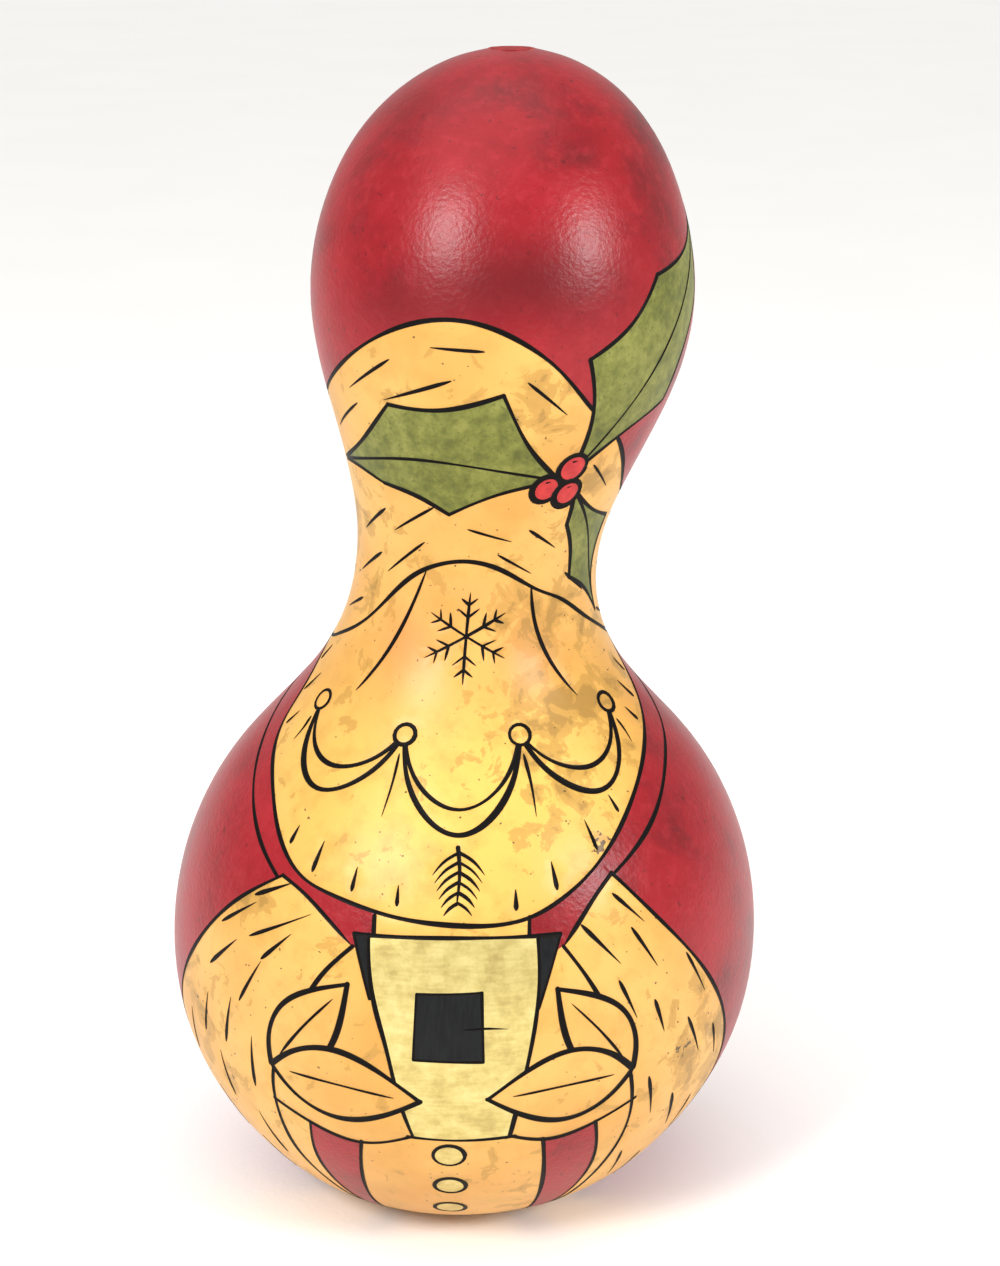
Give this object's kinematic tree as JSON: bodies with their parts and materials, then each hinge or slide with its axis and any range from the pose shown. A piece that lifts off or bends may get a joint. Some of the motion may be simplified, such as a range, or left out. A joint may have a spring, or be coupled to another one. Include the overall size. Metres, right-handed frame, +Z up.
{
  "type": "dried bottle gourd",
  "caption": "Dried, varnished bottle gourd with a waist, standing on its flattened base, its rind dyed and decorated with burned lines and paint.",
  "frame": {"origin": "on the standing surface, under the middle of the bounding box", "axes": "+Z up along the gourd's length, from its base to its stem scar; the decorated front faces -Y, and +X is to the right seen from the front"},
  "size_m": [0.144, 0.1412, 0.279],
  "materials": {
    "rind": "satin",
    "red_dye": "satin",
    "green_dye": "satin",
    "gold_paint": "satin",
    "black_paint": "satin",
    "burned_line": "matte"
  },
  "bodies": {
    "root": {"gourd": "rind"}
  },
  "joints": []
}
